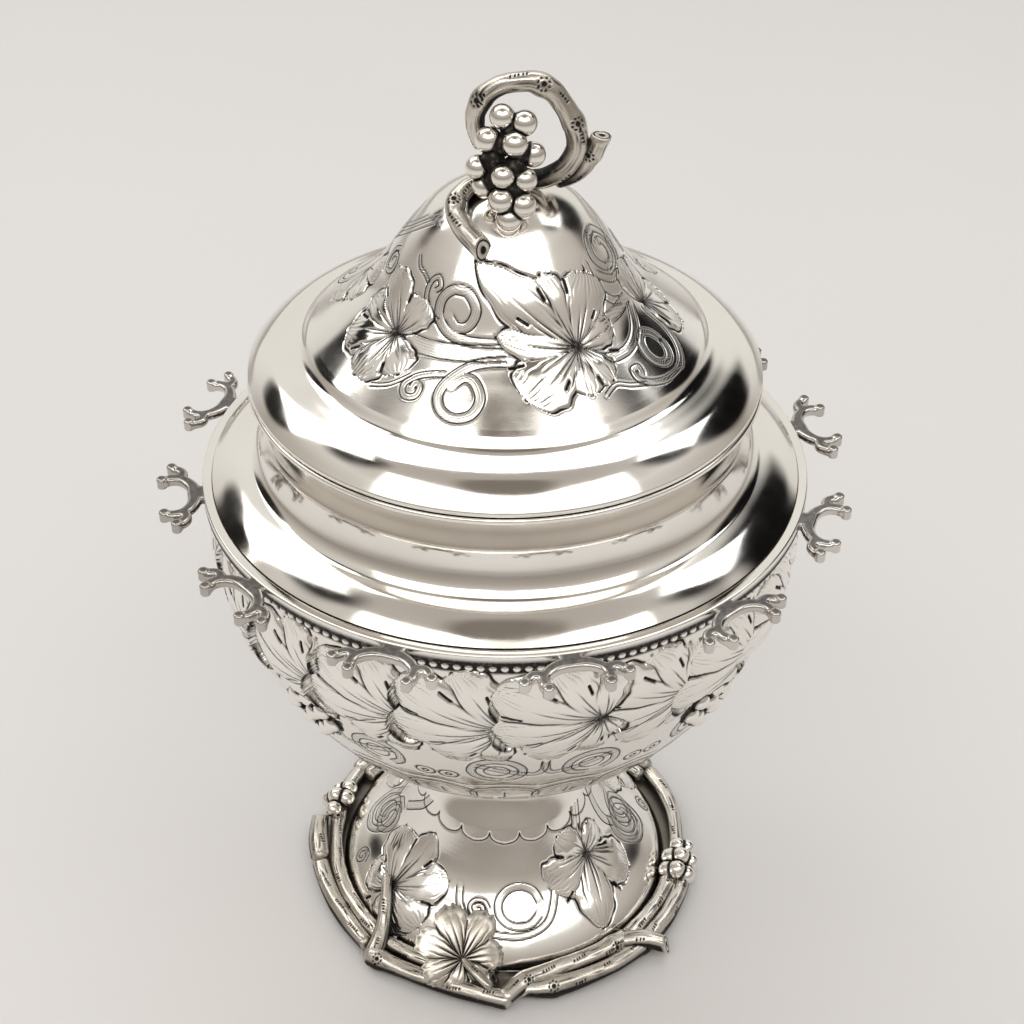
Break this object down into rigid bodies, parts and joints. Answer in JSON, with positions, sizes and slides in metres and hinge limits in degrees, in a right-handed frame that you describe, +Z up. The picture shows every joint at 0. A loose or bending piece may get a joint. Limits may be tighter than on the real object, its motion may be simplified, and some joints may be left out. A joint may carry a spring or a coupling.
{
  "type": "footed sugar bowl with lid",
  "caption": "Footed silver sugar bowl with a lift-off lid, spoon rests round its shoulder, chased leaves, and a cast vine wreath and finial.",
  "frame": {"origin": "on the axis, at the flat underside of the foot", "axes": "+Z up along the bowl's axis; -Y is the front, where the bunch of grapes on the finial faces"},
  "size_m": [0.175, 0.175, 0.2513],
  "materials": {
    "polished_silver": "burnished and polished sheet silver",
    "chased_silver": "polished sheet silver, chased in relief, dark oxide in the cut lines",
    "drawn_silver_wire": "drawn and soldered silver wire, polished",
    "beaded_silver": "beaded silver wire, oxide between the beads",
    "cast_silver": "cast and chased silver, bright on the high places, dark in the hollows",
    "cast_silver_dark": "cast silver, flat faces left darker, edges bright",
    "oxidised_silver": "silver darkened with oxide"
  },
  "bodies": {
    "bowl": {"bowl_body": "chased_silver", "shoulder_and_neck": "polished_silver", "edge_moulding": "drawn_silver_wire", "beaded_wire": "beaded_silver", "mouth_wire": "drawn_silver_wire", "spoon_rest_01": "cast_silver_dark", "spoon_rest_02": "cast_silver_dark", "spoon_rest_03": "cast_silver_dark", "spoon_rest_04": "cast_silver_dark", "spoon_rest_05": "cast_silver_dark", "spoon_rest_06": "cast_silver_dark", "spoon_rest_07": "cast_silver_dark", "spoon_rest_08": "cast_silver_dark", "spoon_rest_09": "cast_silver_dark", "spoon_rest_10": "cast_silver_dark", "spoon_rest_11": "cast_silver_dark", "spoon_rest_12": "cast_silver_dark", "stem": "polished_silver", "foot_dome": "chased_silver", "foot_apron": "oxidised_silver", "vine_front_left": "cast_silver", "vine_front_inner": "cast_silver", "vine_front_right": "cast_silver", "vine_cut_stub": "cast_silver", "vine_right_outer": "cast_silver", "vine_right_inner": "cast_silver", "vine_left_outer": "cast_silver", "vine_left_inner": "cast_silver", "vine_left_stub": "cast_silver", "vine_left_twig": "cast_silver", "vine_back_left": "cast_silver", "vine_back_right": "cast_silver", "vine_back_inner": "cast_silver", "vine_leaf_front": "cast_silver", "vine_leaf_stalk": "cast_silver", "vine_leaf_back": "cast_silver", "grapes_left": "cast_silver", "grapes_right": "cast_silver", "grapes_back": "cast_silver"},
    "lid": {"lid_cover": "chased_silver", "lid_edge_wire": "drawn_silver_wire", "lid_bezel": "drawn_silver_wire", "finial_loop": "cast_silver", "finial_twig": "cast_silver", "finial_spur": "cast_silver", "finial_grapes": "cast_silver"}
  },
  "joints": [
    {"name": "lid_lift", "type": "slide", "parent": "bowl", "child": "lid", "axis": [0, 0, 1], "range_m": [0, 0.12]}
  ]
}
